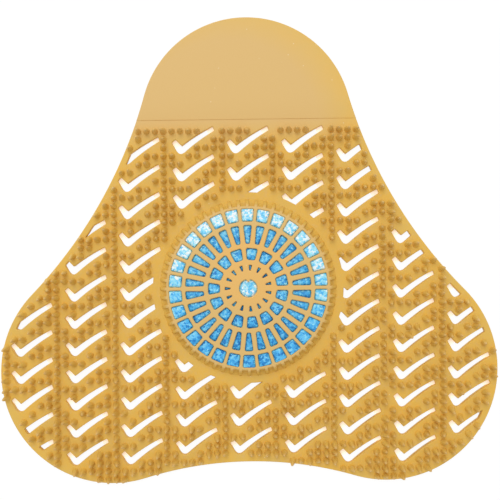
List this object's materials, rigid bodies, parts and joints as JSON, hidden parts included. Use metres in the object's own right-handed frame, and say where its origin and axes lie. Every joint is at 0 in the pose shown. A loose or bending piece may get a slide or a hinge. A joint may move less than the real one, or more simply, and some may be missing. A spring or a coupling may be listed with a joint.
{
  "type": "urinal deodorizer screen",
  "caption": "Flexible three-lobed urinal mat with tick-shaped drain slots, splash bristles, a plain tab and a round grille holding a scented block.",
  "frame": {"origin": "on the underside plane, on the axis of the round grille", "axes": "+Z out of the bristled face, +Y towards the tab's top, +X across the two lobes"},
  "size_m": [0.19, 0.1776, 0.0074],
  "materials": {
    "gold_eva": "satin moulded EVA",
    "scented_block": "pressed granules, slightly glossy",
    "gold_cover": "satin moulded plastic"
  },
  "bodies": {
    "root": {"screen": "gold_eva", "deodorant_block": "scented_block", "back_cover": "gold_cover"}
  },
  "joints": []
}
